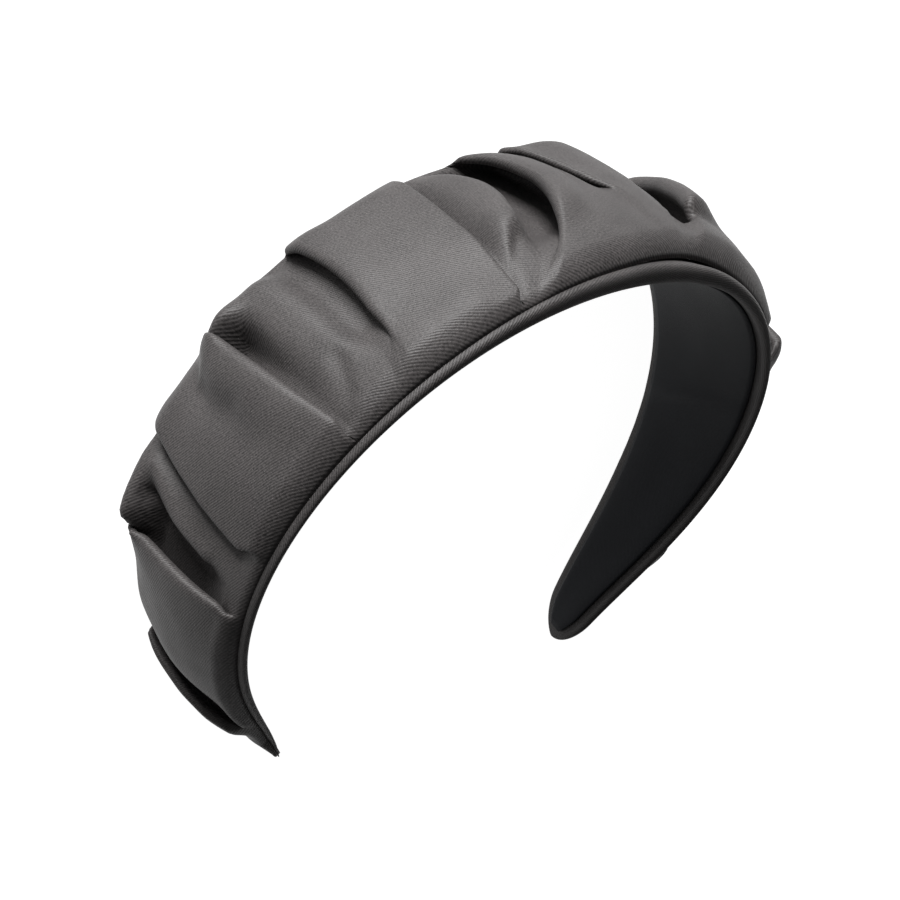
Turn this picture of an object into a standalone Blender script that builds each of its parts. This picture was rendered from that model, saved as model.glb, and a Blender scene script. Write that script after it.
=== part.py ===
"""A ruffled headband, lying on its side: a padded band with rolled rims, a box-pleated cloth
cover sewn over its outer face and a flat lining on the side of the head. Units are metres.

The band is an arch in an upright frame (X from ear to ear, Y away from the near rim, Z up, the
origin at the crown). A share u of the half arc runs from -1 at one tip over 0 at the crown to 1
at the other tip. Every piece is built along that arch and then turned to lie on its far rim.
"""
import math

import bpy
import numpy as np

# Driving sizes
ARC_LENGTH = 0.340           # along the inner face, from tip to tip
CROWN_WIDTH = 0.049          # widest, at the crown
END_WIDTH = 0.0131           # width that the long edges aim at, before the round tips
TIP_ROUND = 0.0099           # length of the rounding at a tip
RIM_THICKNESS = 0.0018       # rolled rim along the legs
CROWN_RIM_THICKNESS = 0.0041
RIM_INSET = 0.0015           # from the outermost rim to the seam of the cover
PAD_SWELL = 0.0018           # how far the padded outer face rises above its two rims
FAR_CROWN_TRIM = 0.0020      # the far half is this much narrower at the crown
TWIST = 0.295                # radians that the legs lean outwards at the tips
COVER_WALL = 0.0010
COVER_END = 0.0055           # from a tip to the end of the pleated cover
PLEAT_RISE = 0.0100          # height that the pleat tables are shares of
TUCK_DEPTH = 0.0050          # how far a pleat's edge reaches over the panel beside it
PLEAT_ROLL = 0.0006          # roundness of a raised pleat edge, beyond what its layers need
PLEAT_RUN = 0.0010           # flat run of cloth on both sides of a pleat's lip
PLEAT_FOOT = 0.0030          # from a pleat's lip to where the panel beside it begins
LINING_WALL = 0.0010
LINING_INSET = 0.0030        # from the rim to the edge of the lining
GAP = 0.0003                 # between pieces and layers that touch
SEAT_GAP = 0.0006            # under the cover, whose seams stand off the padded face
REST_FLAT = 0.0012           # how much of the far rim is pressed flat where it lies

# How the arch turns from the crown to a tip: power of the share, radians at the tip
BEND = ((1, 2.155), (3, 1.598), (5, -0.593), (7, -1.390))
WIDTH_FALL = 1.82            # how late the width falls off towards the tips
CROWN_SHARE = 0.25           # share of the half arc over which the crown's rim is thick
TRIM_SHARE = 0.30            # and over which its far half is narrower
NEAR_RELEASE = 0.10          # share of the width over which a seam still holds the cloth down
FAR_RELEASE = 0.14

# Pleat edges from one tip to the other. near, mid, far: place of the edge as a share of the half
# arc at the near seam, the middle and the far seam. over: 1 where the layer on the side of the
# larger share lies on top, -1 where the other one does. rise: height of the edge near, mid and
# far, as shares of PLEAT_RISE. tuck: share of TUCK_DEPTH. mouth: how far the fold stands open.
# start: share of the width, from the near seam, at which the edge begins.
FOLDS = (
    # near    mid     far   over        rise            tuck  mouth start
    (-0.810, -0.720, -0.690, -1, (0.05, 0.25, 0.25), 0.5, 0.3, 0.00),
    (-0.590, -0.600, -0.595, -1, (0.05, 0.25, 0.30), 1.0, 0.5, 0.00),
    (-0.515, -0.505, -0.500, 1, (0.00, 0.10, 0.15), 0.8, 0.0, 0.00),
    (-0.440, -0.435, -0.440, -1, (0.50, 0.40, 0.30), 1.0, 0.3, 0.00),
    (-0.365, -0.365, -0.360, 1, (0.05, 0.10, 0.15), 0.8, 0.0, 0.00),
    (-0.115, -0.190, -0.210, -1, (0.10, 0.56, 0.26), 1.1, 0.7, 0.18),
    (-0.084, -0.100, -0.110, 1, (0.10, 0.35, 0.30), 0.8, 0.2, 0.12),
    (0.070, 0.030, 0.060, -1, (0.05, 0.28, 0.12), 1.5, 0.7, 0.15),
    (0.152, 0.148, 0.146, 1, (0.00, 0.08, 0.10), 0.8, 0.0, 0.04),
    (0.295, 0.264, 0.280, -1, (0.00, 0.15, 0.18), 0.8, 0.1, 0.12),
    (0.364, 0.378, 0.382, 1, (0.00, 0.18, 0.42), 1.0, 0.2, 0.00),
    (0.530, 0.508, 0.480, -1, (0.00, 0.10, 0.20), 0.8, 0.0, 0.04),
    (0.585, 0.602, 0.590, 1, (0.00, 0.22, 0.08), 1.1, 0.6, 0.00),
    (0.805, 0.705, 0.670, 1, (0.00, 0.15, 0.15), 0.7, 0.3, 0.00),
)

# Cloth between the pleat edges, in the same order, one more row than there are edges: height of
# its middle above the band, near, mid and far, as shares of PLEAT_RISE.
PANELS = (
    (0.05, 0.15, 0.15),
    (0.15, 0.35, 0.35),
    (0.05, 0.10, 0.10),
    (0.20, 0.35, 0.35),
    (0.05, 0.10, 0.10),
    (0.28, 0.48, 0.32),
    (0.05, 0.10, 0.10),
    (0.22, 0.38, 0.22),
    (0.14, 0.28, 0.18),
    (0.25, 0.33, 0.35),
    (0.15, 0.30, 0.58),
    (0.25, 0.38, 0.45),
    (0.05, 0.15, 0.75),
    (0.20, 0.33, 0.28),
    (0.10, 0.20, 0.06),
)

# Soft ridges (height above 0) and valleys (below 0) in the cloth, each a straight line over the
# cover: its two ends as share of the half arc and share of the width from the near seam, then its
# half width and its height as shares of PLEAT_RISE.
CREASES = (
    # from          to             width  height
    (0.070, 0.90, 0.132, 0.30, 0.20, 0.16),
    (0.082, 0.60, 0.140, 0.22, 0.16, -0.08),
    (0.058, 0.55, 0.115, 0.12, 0.22, 0.12),
    (-0.005, 0.85, -0.050, 0.52, 0.18, -0.20),
    (0.515, 0.80, 0.580, 0.50, 0.16, -0.16),
    (0.535, 0.95, 0.590, 0.66, 0.22, 0.16),
    (0.530, 0.36, 0.588, 0.22, 0.18, -0.08),
    (0.330, 0.45, 0.345, 0.20, 0.30, 0.10),
    (-0.550, 0.80, -0.585, 0.30, 0.20, 0.12),
)

ARC_STEPS = 2000
TIP_INSET = 0.6              # most of the half width that the rim takes at a tip
BAND_STATIONS = 48
TIP_TURNS = (22, 42, 60, 75, 85)    # degrees of the quarter circle at a tip
RIM_POINTS = 5
PAD_POINTS = 5
FOLD_FADE = 0.06             # share of the width over which a pleat's edge starts or ends
FOLD_EASE = 0.7              # more of it for an edge that starts away from the seam
LINING_END = 0.25            # least of the half width that the lining keeps at a tip
COVER_ROWS = (0.0, 0.04, 0.12, 0.26, 0.42, 0.58, 0.74, 0.88, 0.96, 1.0)
LINING_STATIONS = 48

half_arc = ARC_LENGTH / 2


def lean(u):
    """Angle of the arch at u, from flat at the crown."""
    return sum(turn * u ** power for power, turn in BEND)


def arch_table():
    """Centre line of the inner face: shares, X and Z."""
    shares = np.linspace(-1.0, 1.0, ARC_STEPS + 1)
    angle = lean(shares)
    step = ARC_LENGTH / ARC_STEPS
    run_x = -np.cos(angle)
    run_z = -np.sin(angle)
    x = np.concatenate([[0.0], np.cumsum((run_x[1:] + run_x[:-1]) / 2 * step)])
    z = np.concatenate([[0.0], np.cumsum((run_z[1:] + run_z[:-1]) / 2 * step)])
    middle = ARC_STEPS // 2
    return shares, x - x[middle], z - z[middle]


ARCH_U, ARCH_X, ARCH_Z = arch_table()


def arch_frame(u):
    """Centre, direction across the band (to the far rim) and outward direction at each u."""
    angle = lean(u)
    centre = np.stack([np.interp(u, ARCH_U, ARCH_X), 0 * u, np.interp(u, ARCH_U, ARCH_Z)], -1)
    out = np.stack([-np.sin(angle), 0 * u, np.cos(angle)], -1)
    far = np.array([0.0, 1.0, 0.0])
    turn = (TWIST * u ** 2)[..., None]
    return centre, np.cos(turn) * far + np.sin(turn) * out, np.cos(turn) * out - np.sin(turn) * far


def tip_rounding(u):
    """1 along the band, falling to 0 in a quarter circle at a tip."""
    left = np.clip((1 - np.abs(u)) * half_arc / TIP_ROUND, 0, 1)
    return np.sqrt(1 - (1 - left) ** 2)


def near_width(u):
    """Distance from the centre line to the near rim."""
    fall = (CROWN_WIDTH - END_WIDTH) / 2 * np.abs(u) ** WIDTH_FALL
    return (CROWN_WIDTH / 2 - fall) * tip_rounding(u)


def far_width(u):
    trim = FAR_CROWN_TRIM * np.exp(-(u / TRIM_SHARE) ** 2)
    return near_width(u) - trim


def rim_thickness(u):
    swell = (CROWN_RIM_THICKNESS - RIM_THICKNESS) * np.exp(-(u / CROWN_SHARE) ** 2)
    return (RIM_THICKNESS + swell) * np.sqrt(tip_rounding(u))


def pad_swell(u, share):
    """Height of the padded face over its rims, share from -1 at one seam to 1 at the other."""
    return PAD_SWELL * tip_rounding(u) * (1 - share ** 2)


def seam_inset(u):
    """Distance from the rim to the seam, less where a tip is narrow."""
    return np.minimum(RIM_INSET, TIP_INSET * far_width(u))


def place(u, across, out):
    """Upright point at u, this far across the band and out from its inner face."""
    centre, far, outward = arch_frame(u)
    return centre + far * across[..., None] + outward * out[..., None]


def rest_tilt():
    """Slope between the crown and the tips at which the far rim lies level under its weight."""
    u = np.linspace(0.0, 1.0, 200)
    rim = place(u, far_width(u), rim_thickness(u) / 2)
    drop = -rim[:, 2]
    weight = near_width(u)
    balance = (drop * weight).sum() / weight.sum()
    slopes = np.linspace(-0.4, 0.4, 801)
    reach = [(rim[:, 1] + slope * (drop - balance)).max() for slope in slopes]
    return math.atan(slopes[int(np.argmin(reach))])


tilt = rest_tilt()


def lie_down(points):
    """Upright points turned onto the far rim: near rim up, crown towards +Y."""
    x, y, z = points[..., 0], points[..., 1], points[..., 2]
    along = z * math.cos(tilt) + y * math.sin(tilt)
    up = z * math.sin(tilt) - y * math.cos(tilt)
    return np.stack([x, along, up], -1)


def band_section(u):
    """Section of the padded band at one u, closed: across the band and out from its inner face."""
    near = float(near_width(u))
    far = float(far_width(u))
    thick = float(rim_thickness(u))
    inset = float(seam_inset(u))
    turns = np.linspace(-math.pi / 2, math.pi / 2, RIM_POINTS)
    far_rim = [(far - inset + inset * math.cos(a), thick / 2 * (1 + math.sin(a))) for a in turns]
    near_rim = [(inset - near - inset * math.cos(a), thick / 2 * (1 - math.sin(a))) for a in turns]
    pad = []
    for share in np.linspace(1, -1, PAD_POINTS + 2)[1:-1]:
        half = far - inset if share > 0 else near - inset
        pad.append((share * half, thick + pad_swell(u, share)))
    return np.array(far_rim + pad + near_rim)


def station_shares():
    """Shares along the band, with a few more where the tips round off."""
    straight = 1.0 - TIP_ROUND / half_arc
    half = np.linspace(0.0, straight, BAND_STATIONS // 2)
    half = np.concatenate([half, straight + (1.0 - straight) * np.sin(np.radians(TIP_TURNS))])
    return np.concatenate([-half[:0:-1], half])


def band_rings():
    """Upright rings of the band from tip to tip, then its two tip points."""
    shares = station_shares()
    rings = []
    for u in shares:
        section = band_section(u)
        rings.append(place(np.full(len(section), u), section[:, 0], section[:, 1]))
    ends = np.array([-1.0, 1.0])
    return np.array(rings), place(ends, np.zeros(2), np.zeros(2))


def mesh_object(name, points, faces, material, smooth_angle):
    mesh = bpy.data.meshes.new(name)
    mesh.from_pydata([tuple(point) for point in points], [], faces)
    mesh.validate()
    mesh.materials.append(material)
    piece = bpy.data.objects.new(name, mesh)
    headband.objects.link(piece)
    mesh.shade_smooth()
    mesh.set_sharp_from_angle(angle=math.radians(smooth_angle))
    return piece


def cloth(name, color, roughness):
    material = bpy.data.materials.new(name)
    material.use_nodes = True
    shader = material.node_tree.nodes["Principled BSDF"]
    shader.inputs["Base Color"].default_value = (*color, 1.0)
    shader.inputs["Roughness"].default_value = roughness
    shader.inputs["Metallic"].default_value = 0.0
    return material


def settle(points):
    """Lying points over the footprint's middle, pressed flat at the resting height."""
    lying = lie_down(points) - rest_point
    lying[..., 2] = np.maximum(lying[..., 2], 0.0)
    return lying


def make_band(rings, tips):
    rings = settle(rings)
    count, sides, _ = rings.shape
    points = list(rings.reshape(-1, 3)) + list(settle(tips))
    faces = []
    for i in range(count - 1):
        for j in range(sides):
            k = (j + 1) % sides
            faces.append((i * sides + j, (i + 1) * sides + j, (i + 1) * sides + k, i * sides + k))
    first_tip = count * sides
    last = (count - 1) * sides
    for j in range(sides):
        k = (j + 1) % sides
        faces.append((first_tip, j, k))
        faces.append((first_tip + 1, last + k, last + j))
    return mesh_object("wrapped_band", points, faces, band_cloth, 50)


def between(b, near, mid, far):
    """Value at b across the band, through its values at the near seam, the middle and far seam."""
    return near * (1 - b) * (1 - 2 * b) + mid * 4 * b * (1 - b) + far * b * (2 * b - 1)


def seam_fade(b, start, length):
    """0 up to start, then smoothly up to 1."""
    x = np.clip((b - start) / length, 0, 1)
    return x * x * (3 - 2 * x)


def puff(b):
    """How freely the cloth stands up across the band: held down at both seams."""
    return np.sqrt(seam_fade(b, 0.0, NEAR_RELEASE) * seam_fade(1 - b, 0.0, FAR_RELEASE))


def fold_controls(fold, low, b):
    """Control points of one pleat edge for rows b: along the band and height over the band.

    They run from the top layer round the rolled lip, back under it, round the inner turn and out
    again as the low layer. Where the fold has not begun, they lie on one smooth slope.
    """
    near, mid, far, over, rise, tuck, mouth, start = fold
    opening = seam_fade(b, start, FOLD_FADE + FOLD_EASE * start)
    strength = opening * seam_fade(1 - b, 0.0, FOLD_FADE)
    lift = PLEAT_RISE * np.maximum(between(b, *rise), 0) * puff(b)
    layer = COVER_WALL + GAP
    lip = layer / 2 + np.minimum(lift / 2, PLEAT_ROLL)
    top = low + 2 * layer + lift
    under = top - 2 * lip
    inner = low + layer + (under - low - layer) * mouth
    depth = TUCK_DEPTH * tuck + 0 * b
    # control polygon of a half round lip: it overshoots the lip's radius by 0.4 at the front
    folded = (
        (-2.6 * lip - PLEAT_RUN, top - 0.1 * lift),
        (-1.3 * lip, top),
        (0.4 * lip, top),
        (0.4 * lip, under),
        (-1.3 * lip, under),
        (-0.6 * depth, (under + inner) / 2),
        (-depth - 0.6 * layer, inner),
        (-depth - 0.6 * layer, low),
        (-0.5 * depth, low),
        (PLEAT_RUN + 0 * b, low),
        (PLEAT_FOOT + 0 * b, low),
    )
    edge = between(b, near, mid, far) * half_arc
    first = folded[0][0]
    along = []
    height = []
    for index, (x, z) in enumerate(folded):
        share = index / (len(folded) - 1)
        slope_x = first + (PLEAT_FOOT - first) * share
        slope_z = low + lift / 2 + layer * (0.5 - share)
        along.append(edge - over * (strength * x + (1 - strength) * slope_x))
        height.append(strength * z + (1 - strength) * slope_z)
    if over > 0:
        along.reverse()
        height.reverse()
    return along, height


def cover_controls(b):
    """Control points of the whole cover for rows b, from one end of the cover to the other."""
    ground = COVER_WALL / 2 + SEAT_GAP
    end = half_arc - COVER_END
    heights = [PLEAT_RISE * between(b, *panel) * puff(b) for panel in PANELS]
    edge = -end + 0 * b
    along = [edge]
    height = [ground + 0 * b]
    for index, panel_height in enumerate(heights):
        if index < len(FOLDS):
            fold = FOLDS[index]
            beside = heights[index] if fold[3] > 0 else heights[index + 1]
            fold_along, fold_height = fold_controls(fold, ground + beside / 2, b)
        else:
            fold_along = [end + 0 * b]
            fold_height = [ground + 0 * b]
        for share in (0.25, 0.5, 0.75):
            along.append(edge + (fold_along[0] - edge) * share)
            height.append(ground + panel_height)
        along += fold_along
        height += fold_height
        edge = fold_along[-1]
    return np.array(along), np.array(height)


def smooth_curve(values, at):
    """Cubic B-spline through rows of control values, read at these places."""
    padded = np.concatenate([values[:1], values[:1], values, values[-1:], values[-1:]])
    at = np.clip(at + 1.0, 0, len(padded) - 3 - 1e-9)
    base = at.astype(int)
    t = (at - base)[:, None]
    weights = ((1 - t) ** 3, 3 * t ** 3 - 6 * t ** 2 + 4, -3 * t ** 3 + 3 * t ** 2 + 3 * t + 1, t ** 3)
    return sum(weight * padded[base + k] for k, weight in enumerate(weights)) / 6


def crease_height(u, b):
    """Sum of the soft ridges and valleys at u and b."""
    total = 0 * u + 0 * b
    for u0, b0, u1, b1, width, height in CREASES:
        run = np.array([(u1 - u0) * half_arc, (b1 - b0) * CROWN_WIDTH])
        x = (u - u0) * half_arc
        y = (b - b0) * CROWN_WIDTH
        share = np.clip((x * run[0] + y * run[1]) / (run @ run), 0, 1)
        away = np.hypot(x - share * run[0], y - share * run[1])
        total = total + height * PLEAT_RISE * np.exp(-(away / (width * PLEAT_RISE)) ** 2)
    return total * puff(b)


def cover_grid():
    """Upright points of the cover's middle surface, by column along it and row across it."""
    b = np.array(COVER_ROWS)
    along, height = cover_controls(b)
    at = np.arange(len(along), dtype=float)
    u = smooth_curve(along, at) / half_arc
    near = seam_inset(u) - near_width(u)
    far = far_width(u) - seam_inset(u)
    out = rim_thickness(u) + pad_swell(u, 2 * b - 1) + smooth_curve(height, at) + crease_height(u, b)
    return place(u, near + (far - near) * b, out)


def add_wall(piece, thickness):
    wall = piece.modifiers.new("cloth_wall", "SOLIDIFY")
    wall.thickness = thickness
    wall.offset = 0.0


def make_cover(grid):
    grid = settle(grid)
    columns, rows, _ = grid.shape
    faces = []
    for i in range(columns - 1):
        for j in range(rows - 1):
            corner = i * rows + j
            faces.append((corner, corner + 1, corner + rows + 1, corner + rows))
    piece = mesh_object("ruffle_cover", list(grid.reshape(-1, 3)), faces, cover_cloth, 60)
    add_wall(piece, COVER_WALL)
    return piece


def make_lining():
    reach = 1.0 - LINING_INSET / half_arc
    shares = np.linspace(-reach, reach, LINING_STATIONS)
    near = np.maximum(near_width(shares) - LINING_INSET, LINING_END * near_width(shares))
    far = np.maximum(far_width(shares) - LINING_INSET, LINING_END * far_width(shares))
    out = np.full(LINING_STATIONS, -GAP - LINING_WALL / 2)
    edges = settle(np.stack([place(shares, -near, out), place(shares, far, out)], 1))
    faces = [(2 * i, 2 * i + 2, 2 * i + 3, 2 * i + 1) for i in range(LINING_STATIONS - 1)]
    piece = mesh_object("lining", list(edges.reshape(-1, 3)), faces, lining_cloth, 60)
    add_wall(piece, LINING_WALL)
    return piece


def footprint(points):
    """Place of the resting point in lying points: middle of the footprint, at the pressed rim."""
    low = points.min(0)
    high = points.max(0)
    return np.array([(low[0] + high[0]) / 2, (low[1] + high[1]) / 2, low[2] + REST_FLAT])


for old in list(bpy.data.objects):
    bpy.data.objects.remove(old, do_unlink=True)
headband = bpy.data.collections.new("ruffled_headband")
bpy.context.scene.collection.children.link(headband)

band_cloth = cloth("band_satin", (0.055, 0.052, 0.052), 0.55)
cover_cloth = cloth("cover_satin", (0.075, 0.071, 0.070), 0.50)
lining_cloth = cloth("lining_cloth", (0.020, 0.021, 0.026), 0.80)

upright_rings, upright_tips = band_rings()
upright_cover = cover_grid()
outline = np.concatenate([upright_rings.reshape(-1, 3), upright_cover.reshape(-1, 3)])
rest_point = footprint(lie_down(outline))

make_band(upright_rings, upright_tips)
make_cover(upright_cover)
make_lining()
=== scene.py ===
"""Looks of the ruffled headband: satin cover in box pleats, wrapped padded band and lining.

Every piece follows the same arch as its solid. The arch is drawn in an upright frame (X from ear
to ear, Y away from the near rim, Z up, the origin at the crown), where a share u of the half arc
runs from -1 at one tip to 1 at the other and b runs over the cover from its near seam, 0, to its
far seam, 1. The points are then turned to lie on the far rim. Units are metres.
"""
import math
from collections import namedtuple

import bpy
import numpy as np
from mathutils import Matrix, Vector, noise


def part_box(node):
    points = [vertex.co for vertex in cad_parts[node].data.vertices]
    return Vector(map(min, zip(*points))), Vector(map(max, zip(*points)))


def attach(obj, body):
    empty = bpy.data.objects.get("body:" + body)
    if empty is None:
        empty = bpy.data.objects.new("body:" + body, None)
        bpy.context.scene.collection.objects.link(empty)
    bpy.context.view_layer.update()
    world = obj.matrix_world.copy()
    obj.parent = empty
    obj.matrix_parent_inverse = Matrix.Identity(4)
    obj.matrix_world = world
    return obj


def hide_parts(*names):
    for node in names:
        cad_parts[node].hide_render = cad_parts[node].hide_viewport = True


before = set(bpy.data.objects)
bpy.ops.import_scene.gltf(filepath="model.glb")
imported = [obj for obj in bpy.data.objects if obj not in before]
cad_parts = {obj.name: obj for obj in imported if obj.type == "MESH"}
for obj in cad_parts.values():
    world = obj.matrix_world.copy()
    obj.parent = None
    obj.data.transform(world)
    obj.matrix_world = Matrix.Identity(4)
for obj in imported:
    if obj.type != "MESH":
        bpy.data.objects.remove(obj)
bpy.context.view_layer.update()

# Sizes of the band
ARC_LENGTH = 0.340           # along the middle of the inner face
BEND = ((1, 2.155), (3, 1.598), (5, -0.593), (7, -1.390))    # powers of u in the arch's angle
TWIST = 0.295                # turn of the cross-section at the tips, in radians
CROWN_WIDTH = 0.049
END_WIDTH = 0.0131           # at u = 1 and -1, before the tips are shaped
WIDTH_FALL = 1.82            # power of u in the taper
FAR_CROWN_TRIM = 0.0020      # the far half is this much narrower at the crown
TRIM_SHARE = 0.30            # and up to about this share
RIM_THICKNESS = 0.0018
CROWN_RIM_THICKNESS = 0.0041
CROWN_SHARE = 0.25           # the rim is thicker up to about this share
RIM_SQUARE = 0.75            # 1 for a round rim, less for a squarer one
RIM_INSET = 0.0015           # from a rim to its seam
TIP_INSET = 0.6              # and at most this share of the half width
PAD_SWELL = 0.0018           # how far the padded face rises between its seams
TIP_ROUND = 0.0099           # length of the round tip
TIP_END = 0.970              # the leg with the higher shares ends here, in a point at the near rim
TIP_CUT_FROM = 0.74          # its far rim turns towards the near one from here
TIP_CUT_BEND = 1.15          # 1 for a straight cut, more for one that bulges

# Sizes of the cover
CLOTH_WALL = 0.0005
CLOTH_GAP = 0.0002
COVER_SEAT = 0.0008          # middle of the cloth over the padded face
COVER_CLEAR = 0.0004         # the least that it keeps over the sunk padding
COVER_END = 0.0050           # distance from the round tip to the cover
COVER_POINT = 0.0008         # and from the pointed tip
POINT_SETTLE = 0.6           # share of the pleats' height that is gone at the pointed tip
SEAM_DIP = 0.0011            # how deep the cover's edge goes down into its seam
SEAM_ROLL = 0.030            # share of the width over which it does
SEAM_PULL = 0.0028           # how far the near seam is pulled onto the outer face
SEAM_PULL_AT = -0.12         # where, as a share of the half arc
SEAM_PULL_SHARE = 0.13
PAD_SINK = 0.0042            # how far the padding gives way under the pleats
PAD_LEAST = 0.4              # least thickness left there, as a share of the rim's
SINK_END = 0.08              # the last share before the pointed tip, where it gives way less
PLEAT_RISE = 0.0100          # height that the shares in the tables below refer to
TUCK_DEPTH = 0.0055
TUCK_LEAST = 0.4             # share of a tuck's depth that stays where its lip is closed
LIP_BACK = 1.3               # turn of a lip behind its edge, in half thicknesses of the lip
LIP_FRONT = 0.4              # and before it
PLEAT_RUN = 0.0010           # flat cloth beside a lip
PLEAT_FOOT = 0.0030
FOOT_LEAST = 0.35            # share of a foot's width where its lip starts
FOOT_EASE = 0.40             # least share of the cover's width over which it grows
FOLD_FADE = 0.05             # and over which a pleat edge dies out before the far seam
NEAR_RELEASE = 0.10          # share of the width over which the cloth rises from the near seam
FAR_RELEASE = 0.14           # and from the far seam
CREASE_TURN = 0.0004         # run over which a ridge's width goes from one side's to the other's
WRINKLES = ((0.00022, 0.011, 1.0), (0.00010, 0.0045, 7.0))    # height, length and seed

# One pleat edge. line: its place near, mid and far. over: 1 where the top layer lies towards
# higher u, -1 towards lower. rise: the lip's height near, mid and far. roll: the most that the
# lip's half thickness takes of it. tuck: depth of the tuck, as a share of TUCK_DEPTH. mouth: how
# far it gapes. start, ease: where over the width the lip opens and how gently. finish: how far
# before the far seam it closes again, 0 for not. pit: depth of the hollow under the lip, near,
# mid and far. foot: width of the cloth's slope into it, as a share of PLEAT_FOOT.
Fold = namedtuple("Fold", "line over rise roll tuck mouth start ease finish pit foot")
FOLDS = (
    Fold((-0.810, -0.720, -0.690), -1, (0.05, 0.25, 0.25), 0.08, 0.5, 0.3, 0.00, 0.10, 0.00,
         (0.10, 0.10, 0.10), 1.0),
    Fold((-0.590, -0.600, -0.595), -1, (0.05, 0.25, 0.30), 0.10, 1.0, 0.5, 0.00, 0.20, 0.00,
         (0.15, 0.15, 0.15), 1.3),
    Fold((-0.495, -0.485, -0.480), 1, (0.00, 0.10, 0.15), 0.05, 0.8, 0.0, 0.00, 0.06, 0.00,
         (0.00, 0.00, 0.00), 0.6),
    Fold((-0.422, -0.418, -0.422), -1, (0.42, 0.38, 0.30), 0.10, 1.0, 0.1, 0.00, 0.06, 0.00,
         (0.05, 0.05, 0.05), 0.6),
    Fold((-0.350, -0.350, -0.345), 1, (0.05, 0.10, 0.15), 0.05, 0.8, 0.0, 0.00, 0.06, 0.00,
         (0.00, 0.00, 0.00), 0.6),
    Fold((-0.112, -0.180, -0.226), -1, (0.30, 0.52, 0.16), 0.15, 1.1, 0.9, 0.19, 0.14, 0.00,
         (0.60, 0.90, 0.80), 1.0),
    Fold((-0.085, -0.122, -0.098), 1, (0.02, 0.07, 0.07), 0.02, 0.8, 0.6, 0.22, 0.12, 0.00,
         (0.12, 0.12, 0.12), 0.4),
    Fold((-0.055, -0.036, 0.000), -1, (0.00, 0.06, 0.09), 0.02, 0.5, 0.4, 0.34, 0.22, 0.00,
         (0.08, 0.08, 0.08), 0.3),
    Fold((0.128, 0.032, 0.060), -1, (0.15, 0.21, 0.06), 0.11, 1.5, 0.9, 0.04, 0.36, 0.00,
         (0.20, 0.50, 0.50), 2.2),
    Fold((0.152, 0.148, 0.142), 1, (-0.04, 0.10, 0.16), 0.02, 0.9, 0.5, 0.01, 0.06, 0.00,
         (-0.20, 0.18, 0.18), 0.7),
    Fold((0.295, 0.264, 0.280), -1, (0.00, 0.16, 0.16), 0.07, 0.8, 0.5, 0.10, 0.28, 0.00,
         (0.16, 0.16, 0.16), 1.5),
    Fold((0.364, 0.378, 0.388), 1, (0.02, 0.26, 0.26), 0.13, 1.0, 0.6, 0.00, 0.10, 0.11,
         (0.05, 0.16, 0.90), 0.8),
    Fold((0.530, 0.508, 0.480), -1, (0.03, 0.14, 0.18), 0.03, 0.8, 0.5, 0.04, 0.10, 0.00,
         (0.18, 0.18, 0.18), 0.5),
    Fold((0.604, 0.597, 0.588), 1, (0.00, 0.16, 0.02), 0.08, 1.1, 0.8, 0.00, 0.16, 0.12,
         (-0.25, 0.44, 0.30), 1.3),
    Fold((0.845, 0.792, 0.738), 1, (0.06, 0.12, 0.06), 0.05, 0.6, 0.6, 0.00, 0.20, 0.00,
         (0.00, 0.26, 0.16), 1.0),
)

# Height of the cloth between the edges, near, mid and far, as shares of PLEAT_RISE
PANELS = (
    (0.05, 0.15, 0.15),
    (0.15, 0.35, 0.35),
    (0.05, 0.10, 0.10),
    (0.20, 0.35, 0.35),
    (0.05, 0.10, 0.10),
    (0.28, 0.48, 0.32),
    (0.24, 0.12, 0.10),
    (0.22, 0.41, 0.50),
    (0.22, 0.30, 0.20),
    (0.04, 0.24, 0.04),
    (0.25, 0.33, 0.42),
    (0.15, 0.30, 0.52),
    (0.22, 0.33, 0.43),
    (0.02, 0.08, 0.36),
    (0.20, 0.28, 0.10),
    (0.05, 0.09, 0.02),
)

# Soft ridges and valleys: points u, b along one; half width towards lower and higher u, and
# height, as shares of PLEAT_RISE
CREASES = (
    (((0.060, 0.80), (0.074, 0.54), (0.094, 0.42), (0.106, 0.35)), 0.24, 0.60, 0.26),
    (((0.052, 0.66), (0.082, 0.44)), 0.22, 0.16, -0.10),
    (((0.530, 1.00), (0.552, 0.95), (0.570, 0.90)), 0.45, 0.30, 0.43),
    (((0.550, 0.82), (0.566, 0.68)), 0.18, 0.18, -0.30),
    (((0.518, 0.84), (0.548, 0.58), (0.566, 0.34)), 0.22, 0.16, 0.10),
    (((0.362, 1.00), (0.370, 0.84)), 0.34, 0.34, 0.22),
    (((0.320, 0.30), (0.338, 0.14)), 0.12, 0.22, -0.05),
    (((0.412, 1.00), (0.426, 0.78)), 0.28, 0.40, -0.08),
    (((0.412, 1.00), (0.426, 0.74), (0.422, 0.54)), 0.26, 0.40, -0.08),
    (((-0.550, 0.80), (-0.585, 0.30)), 0.20, 0.20, 0.12),
)

# Sizes of the lining
LINING_INSET = 0.0030        # from each rim to the lining
LINING_LEAST = 0.25          # its least half width, as a share of the band's
LINING_STOP = 0.06           # it ends this share before the pointed tip
LINING_SEAT = -0.0006        # its middle surface, out from the inner face
LINING_CURL = 0.0003         # how much nearer to that face its edges lie
LINING_CURL_BEND = 8
WAVE = 0.00040               # height of its soft waves
WAVE_LENGTH = 0.016
WAVE_STRETCH = 0.6           # less than 1 for waves that are longer along the band
WAVE_SEED = 3.0
TUG = 0.00080                # depth of the one crease that runs across it
TUG_AT = -0.560
TUG_SLANT = 0.045
TUG_WIDTH = 0.012

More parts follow.
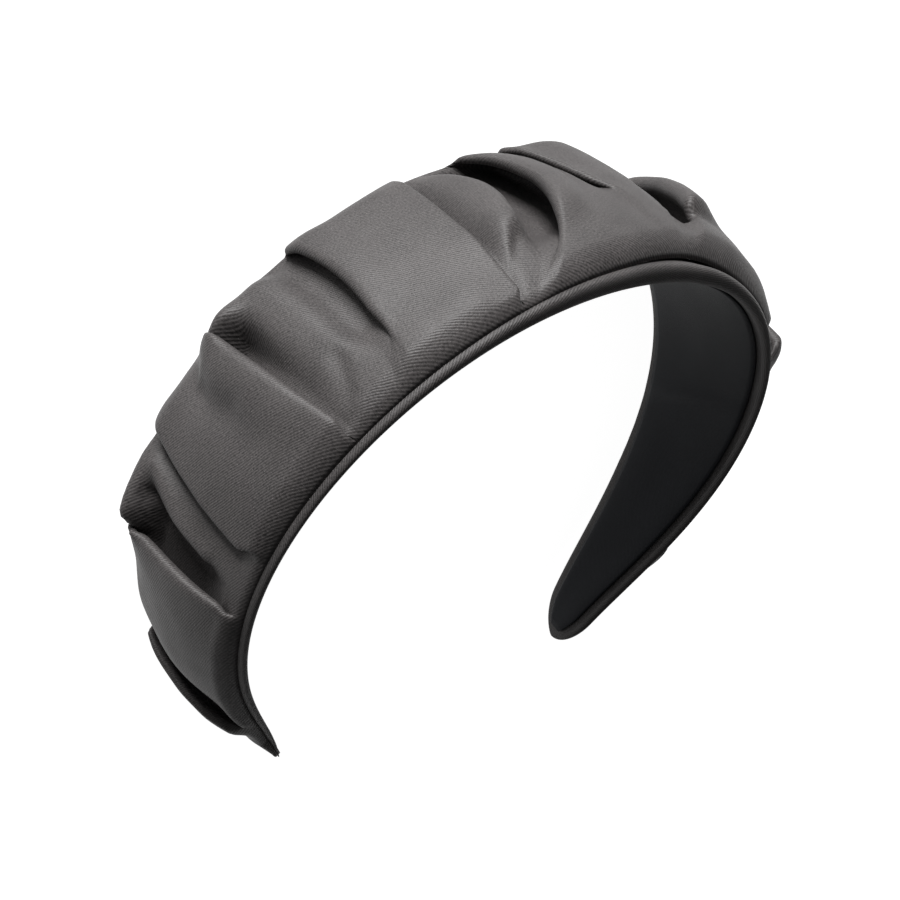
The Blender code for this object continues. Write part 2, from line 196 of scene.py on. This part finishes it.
# Numbers of points and their spacing
ARC_STEPS = 4000
REST_STEPS = 200
REST_SLOPES = np.linspace(-0.4, 0.4, 801)
BAND_STATIONS = 360          # along the band between its tips
TIP_TURNS = 24               # round each tip
LAST_RING = 0.9999           # the last ring stays this little short of the tip's very end
RIM_POINTS = 19              # round each rim
FLOOR_POINTS = 15            # over the inner face
PAD_POINTS = 21              # over the padded face
COVER_ROWS = 60
ROW_CROWDING = 0.35          # 0 for even rows, 1 for rows that crowd at the seams
PANEL_SPANS = 4              # spans of the curve between two pleat edges
PANEL_LEAST = 6              # least number of points over them
SHOWN_STEP = 0.00052         # spacing of these points
LEG_STEP = 0.0011            # and down the leg with the lower shares
LEG_FROM = -0.25
FOLD_SAMPLES = 3             # points for each control of a pleat edge
CUT_BLEND = (0.3, 0.4)       # start and length of the stretch of a pleat edge where the cloth's
                             # flat place goes over from one panel's count to the next one's
LINING_STATIONS = 240
LINING_ROWS = 24

half_arc = ARC_LENGTH / 2


def ease_in(x, start, length):
    """0 up to start, then smoothly up to 1."""
    x = np.clip((x - start) / length, 0, 1)
    return x * x * (3 - 2 * x)


def lean(u):
    """Angle of the arch at u, from flat at the crown."""
    return sum(turn * u ** power for power, turn in BEND)


def arch_table():
    """Centre line of the inner face: shares, X and Z."""
    shares = np.linspace(-1.0, 1.0, ARC_STEPS + 1)
    angle = lean(shares)
    step = ARC_LENGTH / ARC_STEPS
    run_x = -np.cos(angle)
    run_z = -np.sin(angle)
    x = np.concatenate([[0.0], np.cumsum((run_x[1:] + run_x[:-1]) / 2 * step)])
    z = np.concatenate([[0.0], np.cumsum((run_z[1:] + run_z[:-1]) / 2 * step)])
    middle = ARC_STEPS // 2
    return shares, x - x[middle], z - z[middle]


ARCH_U, ARCH_X, ARCH_Z = arch_table()


def arch_frame(u):
    """Centre, direction across the band (to the far rim) and outward direction at each u."""
    angle = lean(u)
    centre = np.stack([np.interp(u, ARCH_U, ARCH_X), 0 * u, np.interp(u, ARCH_U, ARCH_Z)], -1)
    out = np.stack([-np.sin(angle), 0 * u, np.cos(angle)], -1)
    far = np.array([0.0, 1.0, 0.0])
    turn = (TWIST * u ** 2)[..., None]
    return centre, np.cos(turn) * far + np.sin(turn) * out, np.cos(turn) * out - np.sin(turn) * far


def tip_rounding(u):
    """1 along the band, falling to 0 in a curve at the round tip."""
    left = np.clip((1 + u) * half_arc / TIP_ROUND, 0, 1)
    return np.sqrt(1 - (1 - left) ** 2)


def tip_cut(u):
    """0 along the band, rising to 1 where the pointed tip ends."""
    return np.clip((u - TIP_CUT_FROM) / (TIP_END - TIP_CUT_FROM), 0, 1) ** TIP_CUT_BEND


def near_width(u):
    """Distance from the middle of the band to its near rim."""
    fall = (CROWN_WIDTH - END_WIDTH) / 2 * np.abs(u) ** WIDTH_FALL
    return (CROWN_WIDTH / 2 - fall) * tip_rounding(u)


def far_width(u):
    """Distance from the middle to the far rim, below 0 where the tip's cut is past the middle."""
    trim = FAR_CROWN_TRIM * np.exp(-(u / TRIM_SHARE) ** 2)
    return (near_width(u) - trim) * (1 - 2 * tip_cut(u))


def rim_thickness(u):
    swell = (CROWN_RIM_THICKNESS - RIM_THICKNESS) * np.exp(-(u / CROWN_SHARE) ** 2)
    return (RIM_THICKNESS + swell) * np.sqrt(tip_rounding(u) * (1 - tip_cut(u)))


def pad_swell(u, share):
    """Rise of the padded face over the rims, share running over it from -1 to 1."""
    return PAD_SWELL * tip_rounding(u) * (1 - tip_cut(u)) * (1 - share ** 2)


def padding(u, share):
    """Height of the padded face over the inner face, sunk under the cover."""
    thick = rim_thickness(u)
    sink = PAD_SINK * np.sqrt(1 - share ** 2) * tip_rounding(u)
    sink = sink * (1 - ease_in(u, TIP_END - SINK_END, SINK_END / 2))
    return np.maximum(thick + pad_swell(u, share) - sink, PAD_LEAST * thick)


def seam_inset(u):
    """Distance from a rim to its seam."""
    return np.minimum(RIM_INSET, TIP_INSET * (near_width(u) + far_width(u)) / 2)


def near_inset(u):
    """The same at the near rim, where the cover is pulled up beside the crown."""
    return seam_inset(u) + SEAM_PULL * np.exp(-((u - SEAM_PULL_AT) / SEAM_PULL_SHARE) ** 2)


def place(u, across, out):
    """Upright point at u, this far across the band and out from its inner face."""
    centre, far, outward = arch_frame(u)
    return centre + far * across[..., None] + outward * out[..., None]


def rest_tilt():
    """Tilt between the crown and the tips at which the far rim lies level under its weight."""
    u = np.linspace(0.0, 1.0, REST_STEPS)
    rim = place(u, far_width(u), rim_thickness(u) / 2)
    drop = -rim[:, 2]
    weight = near_width(u)
    balance = (drop * weight).sum() / weight.sum()
    reach = [(rim[:, 1] + slope * (drop - balance)).max() for slope in REST_SLOPES]
    return math.atan(REST_SLOPES[int(np.argmin(reach))])


tilt = rest_tilt()


def lie_down(points):
    """Upright points turned onto the far rim: near rim up, crown towards +Y."""
    x, y, z = points[..., 0], points[..., 1], points[..., 2]
    along = z * math.cos(tilt) + y * math.sin(tilt)
    up = z * math.sin(tilt) - y * math.cos(tilt)
    return np.stack([x, along, up], -1)


def between(b, near, mid, far):
    """Value at b across the band, through its values at the near seam, the middle and far seam."""
    return near * (1 - b) * (1 - 2 * b) + mid * 4 * b * (1 - b) + far * b * (2 * b - 1)


def puff(b):
    """How freely the cloth stands up across the band: held down at both seams."""
    return np.sqrt(ease_in(b, 0.0, NEAR_RELEASE) * ease_in(1 - b, 0.0, FAR_RELEASE))


def fold_controls(fold, top_panel, low_panel, b):
    """Control points of one pleat edge for rows b: along the band and height over the band."""
    finish = fold.finish
    opening = ease_in(b, fold.start, fold.ease)
    closing = ease_in(b, 1 - 2 * finish, finish) if finish else 0 * b
    strength = opening * ease_in(1 - b, 0.0, max(FOLD_FADE, 1.5 * finish))
    low = COVER_SEAT + low_panel * (0.5 + 0.5 * closing)
    opening = opening * (1 - closing)
    lift = PLEAT_RISE * np.maximum(between(b, *fold.rise), 0) * puff(b) * opening
    sunk = PLEAT_RISE * np.maximum(between(b, *fold.pit), 0) * puff(b) * opening
    layer = CLOTH_WALL + CLOTH_GAP
    lip = layer / 2 + np.minimum(lift / 2, PLEAT_RISE * fold.roll)
    top = low + 2 * layer + lift
    low = low - sunk
    under = top - 2 * lip
    inner = low + layer + (under - low - layer) * fold.mouth
    depth = TUCK_DEPTH * fold.tuck * (TUCK_LEAST + (1 - TUCK_LEAST) * opening)
    growth = ease_in(b, fold.start, max(fold.ease, FOOT_EASE))
    foot = PLEAT_FOOT * fold.foot * (FOOT_LEAST + (1 - FOOT_LEAST) * growth)
    folded = (
        (-2 * LIP_BACK * lip - PLEAT_RUN, top - 0.1 * lift),
        (-LIP_BACK * lip, top),
        (LIP_FRONT * lip, top),
        (LIP_FRONT * lip, under),
        (-LIP_BACK * lip, under),
        (-0.6 * depth, (under + inner) / 2),
        (-depth - 0.6 * layer, inner),
        (-depth - 0.6 * layer, low),
        (-0.5 * depth, low),
        (PLEAT_RUN + 0 * b, low),
        (foot, low),
    )
    edge = between(b, *fold.line) * half_arc
    first = folded[0][0]
    along = []
    height = []
    for index, (x, z) in enumerate(folded):
        share = index / (len(folded) - 1)
        slope_x = first + (foot - first) * share
        slope_z = COVER_SEAT + top_panel + (low_panel - top_panel) * share
        along.append(edge - fold.over * (strength * x + (1 - strength) * slope_x))
        height.append(strength * z + (1 - strength) * slope_z)
    if fold.over > 0:
        along.reverse()
        height.reverse()
    return along, height


def cover_controls(b):
    """Control points of the cover for rows b: places along the band and heights, the places on
    this curve to make points at, and the first and last of these points at each pleat edge."""
    end = half_arc - COVER_END
    far_end = TIP_END * half_arc - COVER_POINT
    heights = [PLEAT_RISE * between(b, *panel) * puff(b) for panel in PANELS]
    edge = -end + 0 * b
    along = [edge]
    height = [COVER_SEAT + 0 * b]
    places = []
    edges = []
    for index, panel_height in enumerate(heights):
        if index < len(FOLDS):
            fold = FOLDS[index]
            pair = (heights[index + 1], heights[index])
            top_panel, low_panel = pair if fold.over > 0 else pair[::-1]
            fold_along, fold_height = fold_controls(fold, top_panel, low_panel, b)
        else:
            fold_along = [far_end + 0 * b]
            fold_height = [COVER_SEAT + 0 * b]
        start = len(along) - 1
        for span in range(1, PANEL_SPANS):
            along.append(edge + (fold_along[0] - edge) * (span / PANEL_SPANS))
            height.append(COVER_SEAT + panel_height)
        step = SHOWN_STEP if edge[0] > LEG_FROM * half_arc else LEG_STEP
        steps = max(PANEL_LEAST, round(abs(float(fold_along[0].mean() - edge.mean())) / step))
        places.append(np.linspace(start, start + PANEL_SPANS, steps, endpoint=False))
        last = start + PANEL_SPANS - 1 + len(fold_along)
        steps = FOLD_SAMPLES * (len(fold_along) - 1)
        first = sum(map(len, places))
        edges.append((first, first + steps))
        places.append(np.linspace(start + PANEL_SPANS, last, steps, endpoint=False))
        along += fold_along
        height += fold_height
        edge = fold_along[-1]
    places.append(np.array([len(along) - 1.0]))
    return np.array(along), np.array(height), np.concatenate(places), edges[:-1]


def smooth_curve(values, at):
    """Cubic B-spline through rows of control values, read at these places."""
    padded = np.concatenate([values[:1], values[:1], values, values[-1:], values[-1:]])
    at = np.clip(at + 1.0, 0, len(padded) - 3 - 1e-9)
    base = at.astype(int)
    t = (at - base)[:, None]
    weights = (
        (1 - t) ** 3,
        3 * t ** 3 - 6 * t ** 2 + 4,
        -3 * t ** 3 + 3 * t ** 2 + 3 * t + 1,
        t ** 3,
    )
    return sum(weight * padded[base + k] for k, weight in enumerate(weights)) / 6


def crease_height(u, b):
    """Sum of the soft ridges and valleys at u and b."""
    total = 0 * u + 0 * b
    for line, low_width, high_width, height in CREASES:
        nearest = np.full(total.shape, 1.0)
        width = np.ones(total.shape)
        for (u0, b0), (u1, b1) in zip(line[:-1], line[1:]):
            run = np.array([(u1 - u0) * half_arc, (b1 - b0) * CROWN_WIDTH])
            x = (u - u0) * half_arc
            y = (b - b0) * CROWN_WIDTH
            share = np.clip((x * run[0] + y * run[1]) / (run @ run), 0, 1)
            away = np.hypot(x - share * run[0], y - share * run[1])
            side = np.tanh((x * run[1] - y * run[0]) / run[1] / CREASE_TURN)
            here = (low_width + high_width) / 2 + (high_width - low_width) / 2 * side
            width = np.where(away < nearest, here, width)
            nearest = np.minimum(nearest, away)
        total = total + height * PLEAT_RISE * np.exp(-(nearest / (width * PLEAT_RISE)) ** 2)
    return total * puff(b)


def ripple(x, y, length, seed):
    """Smooth noise from about -1 to 1 over a grid of places in metres."""
    values = np.empty(x.size)
    for index, (p, q) in enumerate(zip(x.ravel(), y.ravel())):
        values[index] = noise.noise(Vector((p / length, q / length, seed)))
    return values.reshape(x.shape)


def cover_grid():
    """Upright points of the cover's middle surface, its flat places along and across, and its
    flat length."""
    even = np.linspace(0, 1, COVER_ROWS)
    b = (1 - np.cos(np.linspace(0, math.pi, COVER_ROWS))) / 2
    b = ROW_CROWDING * b + (1 - ROW_CROWDING) * even
    along, height, at, edges = cover_controls(b)
    run = smooth_curve(along, at)
    rise = smooth_curve(height, at)
    u = run / half_arc
    rise = rise * (1 - POINT_SETTLE * ease_in(u, TIP_END - SINK_END, SINK_END))
    near = near_inset(u) - near_width(u)
    far = far_width(u) - seam_inset(u)
    across = near + (far - near) * b
    dip = np.sqrt(np.clip(b / SEAM_ROLL, 0, 1) * np.clip((1 - b) / SEAM_ROLL, 0, 1))
    steps = np.hypot(np.diff(run, axis=0), np.diff(rise, axis=0))
    walk = np.concatenate([0 * run[:1], np.cumsum(steps, axis=0)])
    cut = run.copy()
    for first, last in edges:
        part = slice(first, last + 1)
        share = ease_in(np.linspace(0, 1, last + 1 - first), *CUT_BLEND)[:, None]
        from_first = run[first] + walk[part] - walk[first]
        from_last = run[last] + walk[part] - walk[last]
        cut[part] = from_first + (from_last - from_first) * share
    wrinkle = sum(deep * ripple(cut, across, length, seed) for deep, length, seed in WRINKLES)
    out = rim_thickness(u) + pad_swell(u, 2 * b - 1) + rise + crease_height(u, b)
    out = np.maximum(out + wrinkle * puff(b), padding(u, 2 * b - 1) + COVER_CLEAR)
    out = out - SEAM_DIP * (1 - dip)
    return place(u, across, out), cut, across, float(walk[-1, COVER_ROWS // 2])


def band_grid():
    """Upright closed rings of the wrapped band and the flat place of its wrapping cloth."""
    straight = 1.0 - TIP_ROUND / half_arc
    half = np.linspace(0.0, straight, BAND_STATIONS // 2)
    turns = np.linspace(0, math.pi / 2, TIP_TURNS)[1:]
    half = np.concatenate([half, straight + (1.0 - straight) * np.sin(turns) * LAST_RING])
    u = np.concatenate([-half[:0:-1], half * TIP_END])
    near = near_width(u)[:, None]
    far = far_width(u)[:, None]
    thick = rim_thickness(u)[:, None]
    inset = seam_inset(u)[:, None]
    pulled = near_inset(u)[:, None]
    inner = np.linspace(-1, 1, FLOOR_POINTS)[1:-1]
    floor_across = (far - near) / 2 + inner * ((far + near) / 2 - inset)
    turn = np.linspace(-math.pi / 2, math.pi / 2, RIM_POINTS)
    bulge = np.abs(np.cos(turn)) ** RIM_SQUARE
    climb = np.sign(np.sin(turn)) * np.abs(np.sin(turn)) ** RIM_SQUARE
    far_across = far - inset + inset * bulge
    far_out = thick / 2 * (1 + climb)
    near_across = inset - near - inset * bulge
    near_out = thick / 2 * (1 - climb)
    share = np.linspace(1, -1, PAD_POINTS)[1:-1]
    pad_across = (far - inset - near + pulled) / 2 + share * (far - inset + near - pulled) / 2
    pad_out = padding(u[:, None], share)
    across = np.concatenate([floor_across, far_across, pad_across, near_across], 1)
    out = np.concatenate([0 * floor_across, far_out, pad_out, near_out], 1)
    points = place(np.repeat(u[:, None], across.shape[1], 1), across, out)
    step = np.linalg.norm(np.diff(points, axis=1, append=points[:, :1]), axis=2)
    round_ring = np.concatenate([0 * step[:, :1], np.cumsum(step, 1)[:, :-1]], 1)
    run = np.repeat((u * half_arc)[:, None], across.shape[1], 1)
    return points, np.stack([run, round_ring], -1)


def lining_grid():
    """Upright points of the lining's middle surface and its flat places."""
    end = 1.0 - LINING_INSET / half_arc
    u = np.linspace(-end, TIP_END - LINING_STOP, LINING_STATIONS)[:, None]
    u = u * np.ones((1, LINING_ROWS))
    share = np.linspace(-1, 1, LINING_ROWS)[None, :]
    half = (near_width(u) + far_width(u)) / 2
    reach = np.maximum(half - LINING_INSET, LINING_LEAST * half)
    across = (far_width(u) - near_width(u)) / 2 + share * reach
    cut = np.stack([u * half_arc, across], -1)
    wave = ripple(cut[..., 0] * WAVE_STRETCH, cut[..., 1], WAVE_LENGTH, WAVE_SEED)
    tug = np.exp(-((u - TUG_AT + TUG_SLANT * share) / TUG_WIDTH) ** 2)
    out = LINING_SEAT + LINING_CURL * share ** LINING_CURL_BEND
    out = out + (WAVE * wave - TUG * tug) * (1 - share ** 2)
    return place(u, across, out), cut


band_points, band_cut = band_grid()
lying_band = lie_down(band_points).reshape(-1, 3)
band_low, band_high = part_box("wrapped_band")
shift = Vector((band_low + band_high) / 2) - Vector((lying_band.min(0) + lying_band.max(0)) / 2)
shift.z = band_high.z - lying_band[:, 2].max()
shift = np.array(shift)


def settle(points):
    """Upright points, lying on the far rim where the solids lie, pressed flat at the floor."""
    lying = lie_down(points) + shift
    lying[..., 2] = np.maximum(lying[..., 2], 0.0)
    return lying


def mesh_grid(name, points, cut, material, closed=False):
    """Smooth mesh over a grid of points, with the cloth's flat place in millimetres as its UV."""
    columns, rows, _ = points.shape
    wrap = rows if closed else rows - 1
    i, j = np.meshgrid(np.arange(columns - 1), np.arange(wrap), indexing="ij")
    k = (j + 1) % rows
    corner = np.stack([i * rows + j, i * rows + k, (i + 1) * rows + k, (i + 1) * rows + j], -1)
    faces = corner.reshape(-1, 4)
    mesh = bpy.data.meshes.new(name)
    mesh.from_pydata(points.reshape(-1, 3).tolist(), [], faces.tolist())
    layer = mesh.uv_layers.new(name="cut")
    flat = (cut.reshape(-1, 2) * 1000)[faces.ravel()]
    layer.data.foreach_set("uv", flat.ravel())
    mesh.materials.append(material)
    mesh.shade_smooth()
    piece = bpy.data.objects.new(name, mesh)
    bpy.context.scene.collection.objects.link(piece)
    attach(piece, "root")
    return piece


def add_wall(piece, thickness):
    """Give a sheet its thickness, half to each side."""
    wall = piece.modifiers.new("cloth_wall", "SOLIDIFY")
    wall.thickness = thickness
    wall.offset = 0.0


# Looks. Lengths in a material are in millimetres of flat cloth
DRIFT_SCALE = 0.12           # the ribs wander slowly
DRIFT = 0.9                  # and this far
THREAD_SCALE = 2.4           # uneven threads
CLOUD_SCALE = 0.09           # broad lighter and darker places
RIB_TINT = 0.30              # parts of ribs and clouds in the colour, beside the grain
CLOUD_TINT = 0.35
TINT_FROM = 0.50             # their sum here gives the dark colour
TINT_TO = 1.15               # and here the light one
RIB_LIFT = 0.4               # parts of ribs and threads in the relief
THREAD_LIFT = 0.9
WEAVE_DEPTH = 0.00012
SMOOTHEST = -0.05            # lowest and highest roughness of a thread, from the cloth's own
ROUGHEST = 0.08
SHEEN_SHARE = 0.15           # of the gloss
SHEEN_ROUGHNESS = 0.4
FLOOR_COLOR = (0.55, 0.55, 0.55)
FLOOR_GLOW = 0.95
FLOOR_ROUGHNESS = 0.9
FLOOR_GLOSS = 0.1


class Nodes:
    """Short way to build a material's nodes."""

    def __init__(self, name):
        self.material = bpy.data.materials.new(name)
        self.material.use_nodes = True
        self.tree = self.material.node_tree
        self.shader = self.tree.nodes["Principled BSDF"]

    def add(self, kind, inputs=None, **settings):
        node = self.tree.nodes.new(kind)
        for key, value in settings.items():
            setattr(node, key, value)
        for key, value in (inputs or {}).items():
            self.feed(node, key, value)
        return node

    def feed(self, node, key, value):
        if isinstance(value, bpy.types.NodeSocket):
            self.tree.links.new(value, node.inputs[key])
        else:
            node.inputs[key].default_value = value

    def math(self, operation, *values):
        node = self.add("ShaderNodeMath", dict(enumerate(values)), operation=operation)
        return node.outputs[0]

    def speckle(self, vector, scale, detail):
        node = self.add("ShaderNodeTexNoise", {"Vector": vector, "Scale": scale, "Detail": detail})
        return node.outputs["Fac"]


def twill_cloth(name, dark, light, pitch, angle, roughness, gloss, grain, relief):
    """Woven cloth: fine diagonal ribs, uneven threads and a soft sheen."""
    made = Nodes(name)
    uv = made.add("ShaderNodeUVMap", uv_map="cut").outputs["UV"]
    turned = made.add("ShaderNodeVectorRotate", {"Vector": uv, "Angle": angle},
                      rotation_type="Z_AXIS")
    split = made.add("ShaderNodeSeparateXYZ", {0: turned.outputs[0]})
    wander = made.math("MULTIPLY", made.speckle(uv, DRIFT_SCALE, detail=2.0), DRIFT)
    across_ribs = made.math("ADD", split.outputs["X"], wander)
    phase = made.math("MULTIPLY", across_ribs, 2 * math.pi / pitch)
    rib = made.math("MULTIPLY_ADD", made.math("SINE", phase), 0.5, 0.5)
    thread = made.speckle(uv, THREAD_SCALE, detail=3.0)
    cloud = made.speckle(uv, CLOUD_SCALE, detail=3.0)
    tint = made.math("ADD", made.math("MULTIPLY", rib, RIB_TINT),
                     made.math("MULTIPLY", thread, grain))
    tint = made.math("ADD", tint, made.math("MULTIPLY", cloud, CLOUD_TINT))
    ramp = made.add("ShaderNodeMapRange",
                    {"Value": tint, "From Min": TINT_FROM, "From Max": TINT_TO})
    color = made.add("ShaderNodeMix", {"Factor": ramp.outputs["Result"]}, data_type="RGBA")
    color.inputs["A"].default_value = (*dark, 1.0)
    color.inputs["B"].default_value = (*light, 1.0)
    lift = made.math("ADD", made.math("MULTIPLY", rib, RIB_LIFT),
                     made.math("MULTIPLY", thread, THREAD_LIFT))
    bump = made.add("ShaderNodeBump",
                    {"Height": lift, "Strength": relief, "Distance": WEAVE_DEPTH})
    rough = made.add("ShaderNodeMapRange",
                     {"Value": thread, "To Min": roughness + SMOOTHEST,
                      "To Max": roughness + ROUGHEST})
    made.feed(made.shader, "Base Color", color.outputs["Result"])
    made.feed(made.shader, "Normal", bump.outputs["Normal"])
    made.feed(made.shader, "Roughness", rough.outputs["Result"])
    made.feed(made.shader, "Specular IOR Level", gloss)
    made.feed(made.shader, "Sheen Weight", SHEEN_SHARE * gloss)
    made.feed(made.shader, "Sheen Roughness", SHEEN_ROUGHNESS)
    return made.material


def plain_stage(name, color, glow):
    """Matt surface with a glow of its own, for the floor."""
    made = Nodes(name)
    made.feed(made.shader, "Base Color", (*color, 1.0))
    made.feed(made.shader, "Emission Color", (1.0, 1.0, 1.0, 1.0))
    made.feed(made.shader, "Emission Strength", glow)
    made.feed(made.shader, "Roughness", FLOOR_ROUGHNESS)
    made.feed(made.shader, "Specular IOR Level", FLOOR_GLOSS)
    return made.material


SATIN_DARK = (0.008, 0.0074, 0.0074)
cover_satin = twill_cloth(
    "cover_satin", SATIN_DARK, (0.0435, 0.0398, 0.0394),
    pitch=0.42, angle=1.05, roughness=0.50, gloss=0.20, grain=1.10, relief=0.7)
band_satin = twill_cloth(
    "band_satin", SATIN_DARK, (0.0480, 0.0440, 0.0435),
    pitch=0.44, angle=1.20, roughness=0.54, gloss=0.20, grain=0.90, relief=0.7)
lining_cloth = twill_cloth(
    "lining_cloth", (0.004, 0.0045, 0.0058), (0.012, 0.0135, 0.0170),
    pitch=0.40, angle=0.80, roughness=0.60, gloss=0.10, grain=0.5, relief=0.35)

# The three pieces
band = mesh_grid("wrapped_band_cloth", settle(band_points), band_cut, band_satin, closed=True)
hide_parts("wrapped_band")

cover_points, cover_run, cover_across, cover_length = cover_grid()
cover_cut = np.stack([cover_run, cover_across], -1)
cover = mesh_grid("ruffle_cover_cloth", settle(cover_points), cover_cut, cover_satin)
add_wall(cover, CLOTH_WALL)
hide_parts("ruffle_cover")

lining_points, lining_cut = lining_grid()
lining_rows = settle(lining_points)[:, ::-1]                 # this order turns its front inwards
lining = mesh_grid("lining_sheet", lining_rows, lining_cut[:, ::-1], lining_cloth)
add_wall(lining, CLOTH_WALL)
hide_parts("lining")

# Floor
FLOOR_HALF = 60.0
floor_mesh = bpy.data.meshes.new("floor")
corners = [(x * FLOOR_HALF, y * FLOOR_HALF, 0.0) for x, y in ((-1, -1), (1, -1), (1, 1), (-1, 1))]
floor_mesh.from_pydata(corners, [], [(0, 1, 2, 3)])
floor_mesh.materials.append(plain_stage("pale_floor", FLOOR_COLOR, FLOOR_GLOW))
floor = bpy.data.objects.new("floor", floor_mesh)
bpy.context.scene.collection.objects.link(floor)

# Camera, placed in the upright frame
CAMERA_TURN = 0.834
CAMERA_DROP = 0.568
CAMERA_ROLL = 0.273
CAMERA_DISTANCE = 0.30427
CAMERA_LENS = 57.45
SENSOR_WIDTH = 36.0
CLIP_START = 0.01
CAMERA_AIM = (-0.008267, -0.001777, -0.0506)    # right and up of the middle, and below the crown

ahead = np.array([math.sin(CAMERA_TURN) * math.cos(CAMERA_DROP),
                  math.cos(CAMERA_TURN) * math.cos(CAMERA_DROP), -math.sin(CAMERA_DROP)])
level = np.cross(ahead, (0.0, 0.0, 1.0))
level /= np.linalg.norm(level)
above = np.cross(level, ahead)
right = math.cos(CAMERA_ROLL) * level + math.sin(CAMERA_ROLL) * above
upward = -math.sin(CAMERA_ROLL) * level + math.cos(CAMERA_ROLL) * above
aim = np.array([0.0, 0.0, CAMERA_AIM[2]]) + right * CAMERA_AIM[0] + upward * CAMERA_AIM[1]
eye = lie_down(aim - ahead * CAMERA_DISTANCE) + shift
right, upward, ahead = lie_down(right), lie_down(upward), lie_down(ahead)

camera_data = bpy.data.cameras.new("camera")
camera_data.lens = CAMERA_LENS
camera_data.sensor_width = SENSOR_WIDTH
camera_data.clip_start = CLIP_START
camera = bpy.data.objects.new("camera", camera_data)
bpy.context.scene.collection.objects.link(camera)
camera.matrix_world = Matrix([
    (right[0], upward[0], -ahead[0], eye[0]),
    (right[1], upward[1], -ahead[1], eye[1]),
    (right[2], upward[2], -ahead[2], eye[2]),
    (0.0, 0.0, 0.0, 1.0),
])
bpy.context.scene.camera = camera

# Light: one soft oblong box that faces the crown, and an even room
KEY_DIRECTION = (-0.27, 0.94, 0.10)
KEY_DISTANCE = 1.0
KEY_WIDTH = 0.56
KEY_HEIGHT = 0.22
KEY_POWER = 33.0
ROOM_LIGHT = 0.16

key_data = bpy.data.lights.new("key", "AREA")
key_data.shape = "RECTANGLE"
key_data.size = KEY_WIDTH
key_data.size_y = KEY_HEIGHT
key_data.energy = KEY_POWER
key = bpy.data.objects.new("key", key_data)
bpy.context.scene.collection.objects.link(key)
key_direction = Vector(KEY_DIRECTION).normalized()
key.location = key_direction * KEY_DISTANCE
key.rotation_mode = "QUATERNION"
key.rotation_quaternion = key_direction.to_track_quat("Z", "Y")

bpy.context.scene.view_settings.view_transform = "Standard"
world = bpy.data.worlds.new("studio")
bpy.context.scene.world = world
world.use_nodes = True
world.node_tree.nodes["Background"].inputs["Color"].default_value = (1.0, 1.0, 1.0, 1.0)
world.node_tree.nodes["Background"].inputs["Strength"].default_value = ROOM_LIGHT
